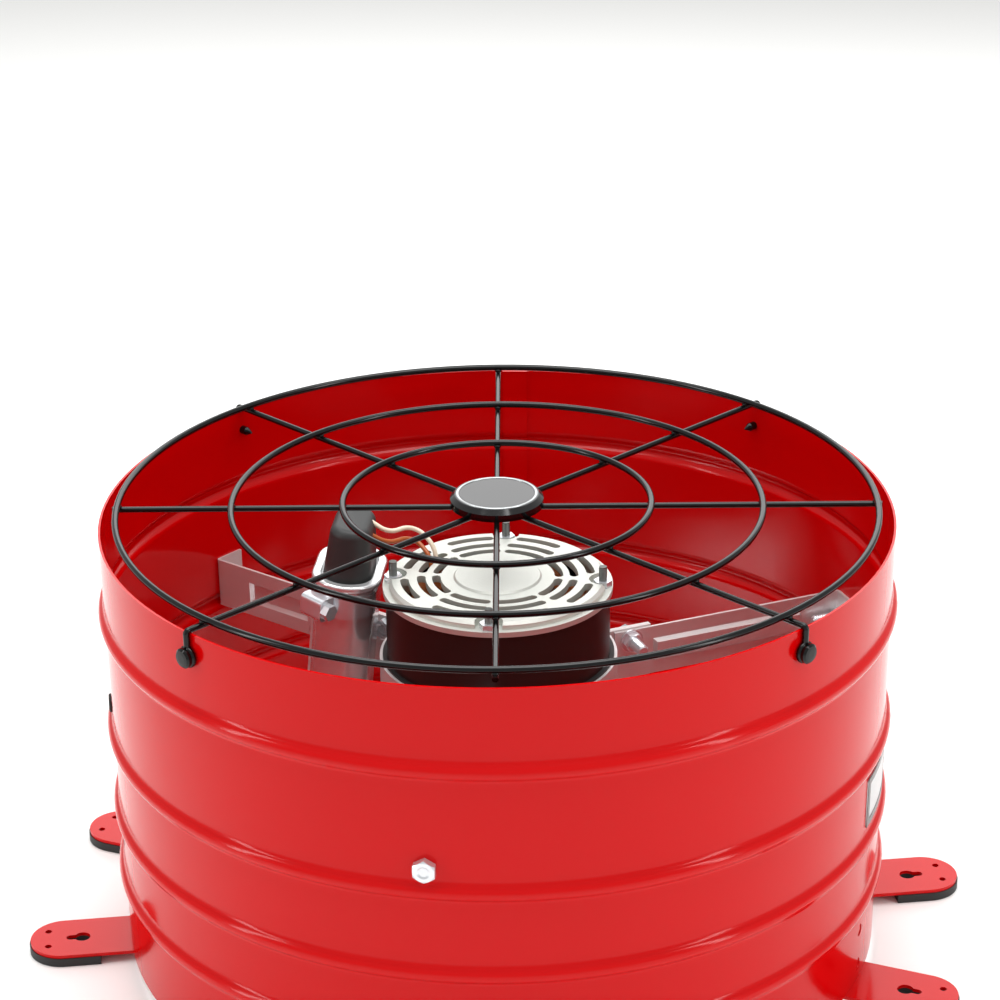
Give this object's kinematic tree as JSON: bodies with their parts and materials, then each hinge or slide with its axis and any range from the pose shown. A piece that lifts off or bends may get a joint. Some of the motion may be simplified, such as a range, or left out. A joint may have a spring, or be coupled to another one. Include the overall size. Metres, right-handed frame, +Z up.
{
  "type": "attic fan",
  "caption": "Round attic fan: ribbed steel shroud on four keyhole feet, wire guard, motor on strip arms over a spinning four-blade wheel.",
  "frame": {"origin": "on the fan's axis, level with the underside of the foot pads", "axes": "+Z up along the fan's axis, away from the feet towards the guard; +X midway between one pair of feet"},
  "size_m": [0.5218, 0.4316, 0.2636],
  "materials": {
    "red_enamel": "gloss",
    "black_rubber": "matte",
    "black_powder_coat": "gloss",
    "badge_black": "gloss",
    "motor_black": "gloss",
    "cast_aluminium": "satin",
    "lamination_steel": "satin",
    "copper_wire": "gloss",
    "ground_steel": "polished",
    "galvanised_steel": "satin",
    "blade_aluminium": "satin",
    "zinc_plate": "polished",
    "can_aluminium": "satin",
    "strap_steel": "polished",
    "lead_cream": "satin",
    "lead_brown": "satin",
    "plate_foil": "satin"
  },
  "bodies": {
    "frame": {"badge": "badge_black", "band_liner": "black_rubber", "bracket_rivets": "blade_aluminium", "cable_grommet": "black_rubber", "capacitor_boot": "black_rubber", "capacitor_bracket": "galvanised_steel", "capacitor_can": "can_aluminium", "capacitor_clamp": "strap_steel", "capacitor_lead_1": "lead_cream", "capacitor_lead_2": "lead_brown", "clamp_band_1": "galvanised_steel", "clamp_band_2": "galvanised_steel", "clamp_band_3": "galvanised_steel", "ear_bolts": "zinc_plate", "end_bell_bottom": "cast_aluminium", "end_bell_top": "cast_aluminium", "flange_nuts": "zinc_plate", "foot_pad_1": "black_rubber", "foot_pad_2": "black_rubber", "foot_pad_3": "black_rubber", "foot_pad_4": "black_rubber", "guard_hub_plate": "black_powder_coat", "guard_mount_spoke_1": "black_powder_coat", "guard_mount_spoke_2": "black_powder_coat", "guard_mount_spoke_3": "black_powder_coat", "guard_mount_spoke_4": "black_powder_coat", "guard_ring_inner": "black_powder_coat", "guard_ring_middle": "black_powder_coat", "guard_ring_outer": "black_powder_coat", "guard_screws": "black_powder_coat", "guard_spoke_1": "black_powder_coat", "guard_spoke_2": "black_powder_coat", "guard_spoke_3": "black_powder_coat", "guard_spoke_4": "black_powder_coat", "motor_arm_1": "galvanised_steel", "motor_arm_2": "galvanised_steel", "motor_arm_3": "galvanised_steel", "motor_bearings": "ground_steel", "motor_shell": "motor_black", "mounting_tab_1": "red_enamel", "mounting_tab_2": "red_enamel", "mounting_tab_3": "red_enamel", "mounting_tab_4": "red_enamel", "nameplate": "plate_foil", "shroud": "red_enamel", "stator_core": "lamination_steel", "stator_windings": "copper_wire", "stud_nuts": "zinc_plate", "tab_rivets": "red_enamel", "through_studs": "zinc_plate", "wall_bolts": "zinc_plate"},
    "rotor": {"motor_shaft": "ground_steel", "rotor_core": "lamination_steel", "fan_spider": "galvanised_steel", "blade_rivets": "blade_aluminium", "set_screw": "ground_steel", "fan_blade_1": "blade_aluminium", "fan_blade_2": "blade_aluminium", "fan_blade_3": "blade_aluminium", "fan_blade_4": "blade_aluminium"}
  },
  "joints": [
    {"name": "rotor_spin", "type": "hinge", "parent": "frame", "child": "rotor", "pos_m": [0, 0, 0.16], "axis": [0, 0, 1], "continuous": true}
  ]
}
